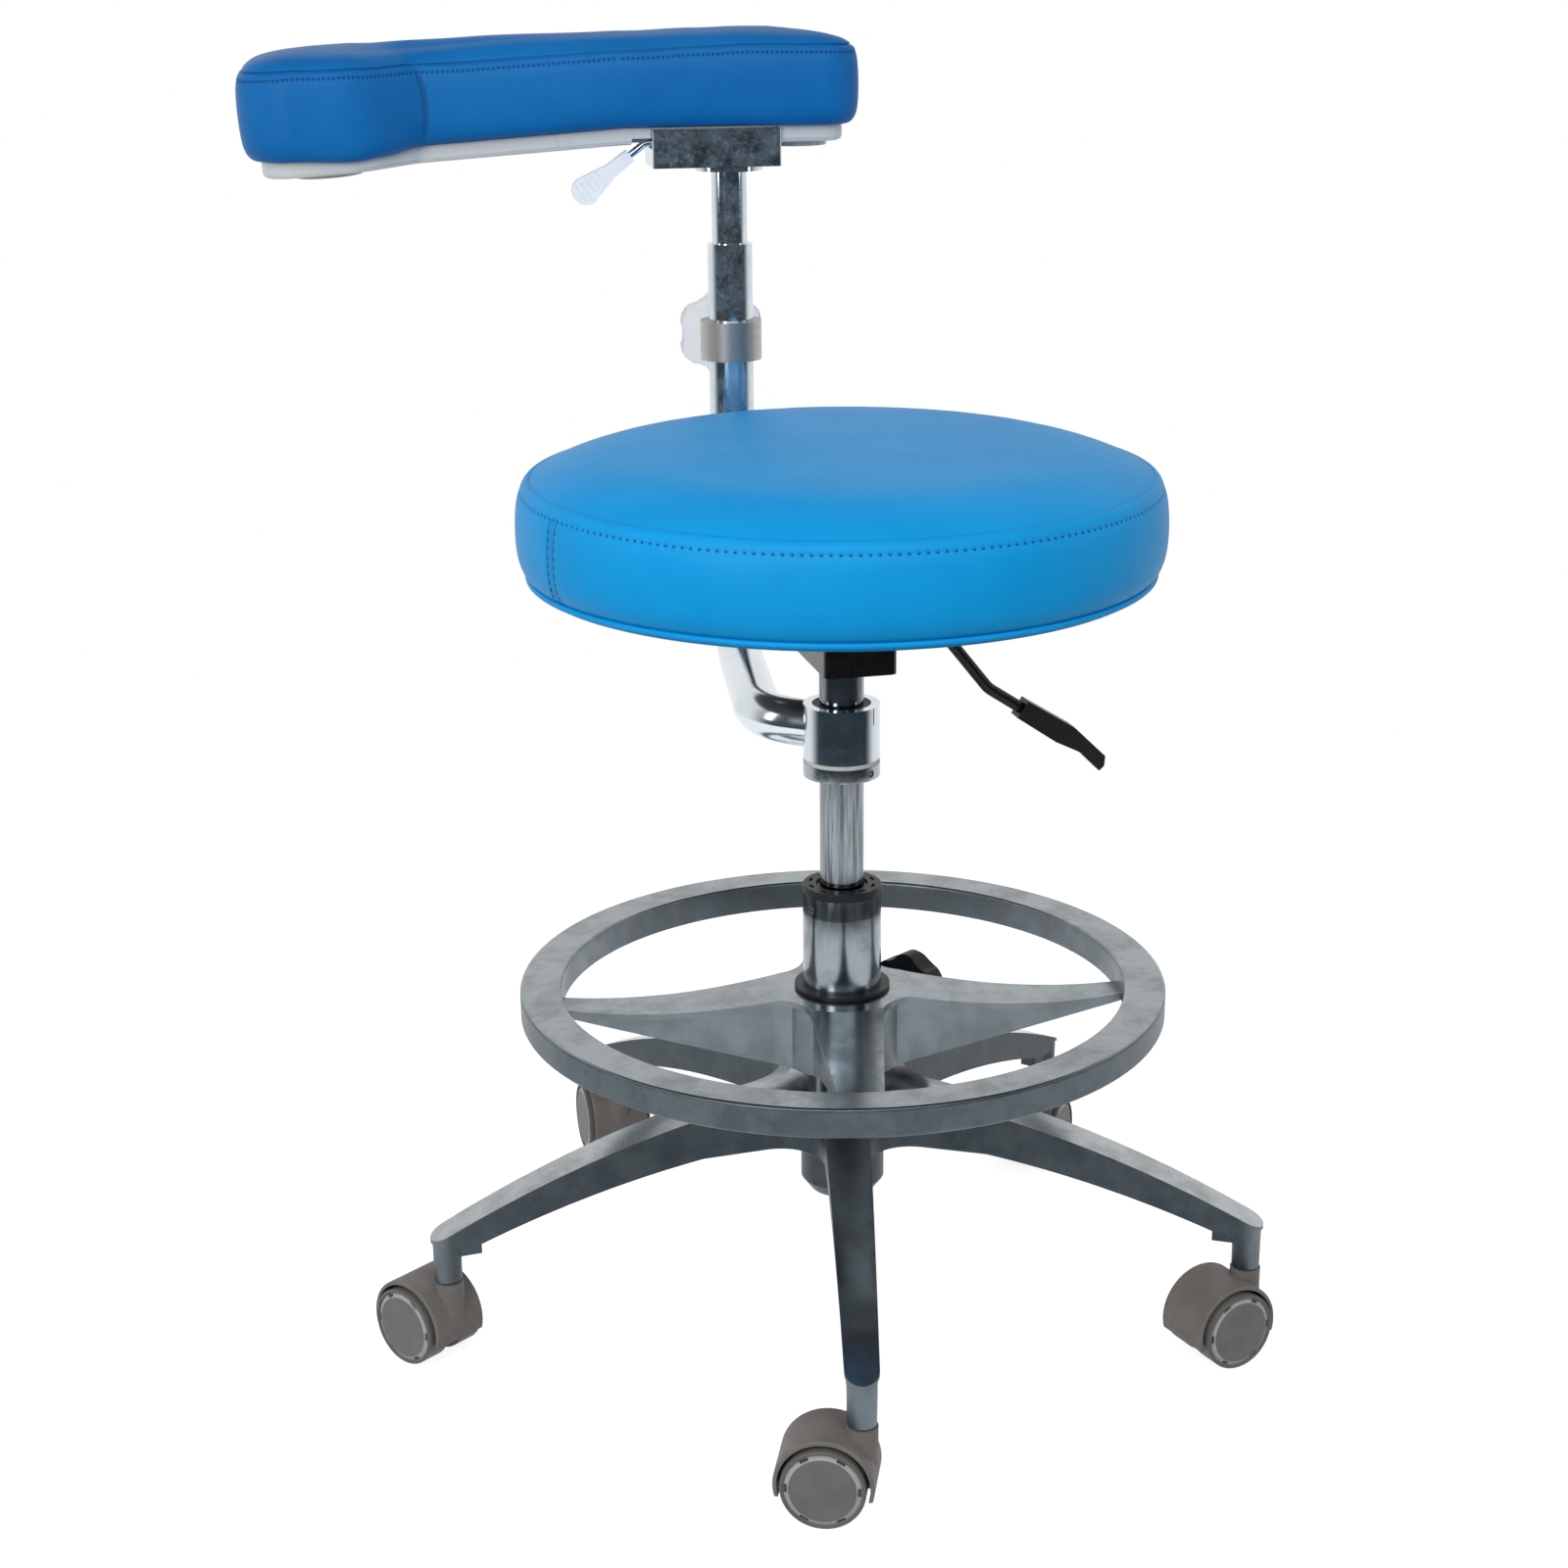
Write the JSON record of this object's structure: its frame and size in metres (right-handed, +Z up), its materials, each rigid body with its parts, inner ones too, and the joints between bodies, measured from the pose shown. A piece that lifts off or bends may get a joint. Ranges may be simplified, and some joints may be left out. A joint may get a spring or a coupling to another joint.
{
  "type": "medical stool",
  "caption": "Clinic swivel stool on casters with a gas-lift round padded seat, foot ring and a swinging arm that carries a padded ratchet support.",
  "frame": {"origin": "on the floor under the column axis", "axes": "+Z up along the column, -Y along the front base arm"},
  "size_m": [0.6507, 0.5734, 0.8014],
  "materials": {
    "cast_aluminium": "satin",
    "polished_steel": "satin",
    "chrome": "polished",
    "steel": "satin",
    "black_plastic": "satin",
    "black_paint": "gloss",
    "white_plastic": "gloss",
    "clear_white_plastic": "gloss",
    "nylon": "satin",
    "taupe_plastic": "satin",
    "caster_steel": "satin",
    "seat_leatherette": "satin",
    "pad_leatherette": "satin",
    "plywood": "matte"
  },
  "bodies": {
    "base": {"star_base": "cast_aluminium", "caster_stems": "steel", "column_tube": "polished_steel", "column_guide_bush": "black_plastic", "thrust_bearing": "steel"},
    "spindle": {"piston_rod": "steel", "rod_clip": "steel"},
    "seat": {"gas_cylinder": "polished_steel", "stop_collar": "chrome", "stop_collar_screw": "steel", "swivel_washer": "nylon", "seat_plate": "black_paint", "seat_board": "plywood", "seat_cushion": "seat_leatherette", "seat_bolts": "steel", "lever_pin": "steel"},
    "valve": {"valve_button": "steel"},
    "release": {"release_lever": "black_paint", "lever_paddle": "black_plastic"},
    "arm": {"arm_collar": "chrome", "arm_collar_bush": "black_plastic", "arm_tube": "chrome", "clamp_collar": "polished_steel"},
    "arm_clamp_knob": {"arm_knob": "clear_white_plastic", "arm_knob_screw": "steel"},
    "mast": {"mast": "chrome", "ratchet_gear": "steel", "gear_bolt": "steel"},
    "head": {"ratchet_housing": "chrome", "ratchet_cover": "chrome", "pawl_pin": "steel", "pad_shell": "white_plastic", "pad_cushion": "pad_leatherette", "pad_screws": "steel"},
    "pawl": {"pawl_lever": "steel", "lever_grip": "white_plastic"},
    "foot_slider": {"foot_ring_bush": "black_plastic"},
    "foot_ring": {"foot_ring": "cast_aluminium"},
    "foot_clamp_knob": {"foot_ring_knob": "black_plastic", "foot_ring_screw": "steel"},
    "caster_1": {"caster_1_hood": "taupe_plastic", "caster_1_axle": "caster_steel"},
    "caster_1_left_wheel": {"caster_1_wheel_left": "taupe_plastic"},
    "caster_1_right_wheel": {"caster_1_wheel_right": "taupe_plastic"},
    "caster_2": {"caster_2_hood": "taupe_plastic", "caster_2_axle": "caster_steel"},
    "caster_2_left_wheel": {"caster_2_wheel_left": "taupe_plastic"},
    "caster_2_right_wheel": {"caster_2_wheel_right": "taupe_plastic"},
    "caster_3": {"caster_3_hood": "taupe_plastic", "caster_3_axle": "caster_steel"},
    "caster_3_left_wheel": {"caster_3_wheel_left": "taupe_plastic"},
    "caster_3_right_wheel": {"caster_3_wheel_right": "taupe_plastic"},
    "caster_4": {"caster_4_hood": "taupe_plastic", "caster_4_axle": "caster_steel"},
    "caster_4_left_wheel": {"caster_4_wheel_left": "taupe_plastic"},
    "caster_4_right_wheel": {"caster_4_wheel_right": "taupe_plastic"},
    "caster_5": {"caster_5_hood": "taupe_plastic", "caster_5_axle": "caster_steel"},
    "caster_5_left_wheel": {"caster_5_wheel_left": "taupe_plastic"},
    "caster_5_right_wheel": {"caster_5_wheel_right": "taupe_plastic"}
  },
  "joints": [
    {"name": "seat_swivel", "type": "hinge", "parent": "base", "child": "spindle", "pos_m": [0, 0, 0.1], "axis": [0, 0, 1], "continuous": true},
    {"name": "seat_lift", "type": "slide", "parent": "spindle", "child": "seat", "axis": [0, 0, 1], "range_m": [-0.07, 0.06]},
    {"name": "release_lever_lift", "type": "hinge", "parent": "seat", "child": "release", "pos_m": [0.01561, 0.0035, 0.47535], "axis": [0.219, -0.9757, 0], "range_deg": [0, 6], "stiffness_Nm_per_rad": 6, "springref_deg": -2.86},
    {"name": "valve_press", "type": "slide", "parent": "seat", "child": "valve", "axis": [0, 0, -1], "range_m": [0, 0.00219]},
    {"name": "arm_swing", "type": "hinge", "parent": "seat", "child": "arm", "pos_m": [0, 0, 0.3918], "axis": [0, 0, 1], "range_deg": [-85, 190]},
    {"name": "arm_knob_turn", "type": "hinge", "parent": "arm", "child": "arm_clamp_knob", "pos_m": [-0.06519, 0.21483, 0.6018], "axis": [-0.219, 0.9757, 0], "range_deg": [0, 270]},
    {"name": "mast_height", "type": "slide", "parent": "arm", "child": "mast", "axis": [0, 0, 1], "range_m": [-0.045, 0.08]},
    {"name": "pad_turn", "type": "hinge", "parent": "mast", "child": "head", "pos_m": [-0.06519, 0.21483, 0.7171], "axis": [0, 0, 1], "range_deg": [-90, 90]},
    {"name": "pawl_release", "type": "hinge", "parent": "head", "child": "pawl", "pos_m": [-0.0812, 0.19945, 0.7328], "axis": [0, 0, 1], "range_deg": [-8, 8]},
    {"name": "foot_ring_height", "type": "slide", "parent": "base", "child": "foot_slider", "axis": [0, 0, 1], "range_m": [-0.01, 0.06]},
    {"name": "foot_ring_turn", "type": "hinge", "parent": "foot_slider", "child": "foot_ring", "pos_m": [0, 0, 0.2062], "axis": [0, 0, 1], "continuous": true},
    {"name": "foot_knob_turn", "type": "hinge", "parent": "foot_ring", "child": "foot_clamp_knob", "pos_m": [0, 0, 0.1948], "axis": [0.682, 0.7314, 0], "range_deg": [0, 270]},
    {"name": "caster_1_swivel", "type": "hinge", "parent": "base", "child": "caster_1", "pos_m": [0, -0.265, 0.056], "axis": [0, 0, 1], "continuous": true},
    {"name": "caster_1_left_wheel_spin", "type": "hinge", "parent": "caster_1", "child": "caster_1_left_wheel", "pos_m": [-0.01974, -0.2618, 0.025], "axis": [-0.1599, -0.9871, 0], "continuous": true},
    {"name": "caster_1_right_wheel_spin", "type": "hinge", "parent": "caster_1", "child": "caster_1_right_wheel", "pos_m": [-0.01974, -0.2618, 0.025], "axis": [-0.1599, -0.9871, 0], "continuous": true},
    {"name": "caster_2_swivel", "type": "hinge", "parent": "base", "child": "caster_2", "pos_m": [0.25203, -0.08189, 0.056], "axis": [0, 0, 1], "continuous": true},
    {"name": "caster_2_left_wheel_spin", "type": "hinge", "parent": "caster_2", "child": "caster_2_left_wheel", "pos_m": [0.23444, -0.0914, 0.025], "axis": [0.4756, -0.8796, 0], "continuous": true},
    {"name": "caster_2_right_wheel_spin", "type": "hinge", "parent": "caster_2", "child": "caster_2_right_wheel", "pos_m": [0.23444, -0.0914, 0.025], "axis": [0.4756, -0.8796, 0], "continuous": true},
    {"name": "caster_3_swivel", "type": "hinge", "parent": "base", "child": "caster_3", "pos_m": [0.15576, 0.21439, 0.056], "axis": [0, 0, 1], "continuous": true},
    {"name": "caster_3_left_wheel_spin", "type": "hinge", "parent": "caster_3", "child": "caster_3_left_wheel", "pos_m": [0.14731, 0.19626, 0.025], "axis": [0.9063, -0.4226, 0], "continuous": true},
    {"name": "caster_3_right_wheel_spin", "type": "hinge", "parent": "caster_3", "child": "caster_3_right_wheel", "pos_m": [0.14731, 0.19626, 0.025], "axis": [0.9063, -0.4226, 0], "continuous": true},
    {"name": "caster_4_swivel", "type": "hinge", "parent": "base", "child": "caster_4", "pos_m": [-0.15576, 0.21439, 0.056], "axis": [0, 0, 1], "continuous": true},
    {"name": "caster_4_left_wheel_spin", "type": "hinge", "parent": "caster_4", "child": "caster_4_left_wheel", "pos_m": [-0.16097, 0.2337, 0.025], "axis": [-0.9655, -0.2605, 0], "continuous": true},
    {"name": "caster_4_right_wheel_spin", "type": "hinge", "parent": "caster_4", "child": "caster_4_right_wheel", "pos_m": [-0.16097, 0.2337, 0.025], "axis": [-0.9655, -0.2605, 0], "continuous": true},
    {"name": "caster_5_swivel", "type": "hinge", "parent": "base", "child": "caster_5", "pos_m": [-0.25203, -0.08189, 0.056], "axis": [0, 0, 1], "continuous": true},
    {"name": "caster_5_left_wheel_spin", "type": "hinge", "parent": "caster_5", "child": "caster_5_left_wheel", "pos_m": [-0.26699, -0.06861, 0.025], "axis": [-0.6639, -0.7478, 0], "continuous": true},
    {"name": "caster_5_right_wheel_spin", "type": "hinge", "parent": "caster_5", "child": "caster_5_right_wheel", "pos_m": [-0.26699, -0.06861, 0.025], "axis": [-0.6639, -0.7478, 0], "continuous": true}
  ],
  "couplings": [
    {"joint": "valve_press", "follows": "release_lever_lift", "m_per_rad": 0.02}
  ]
}
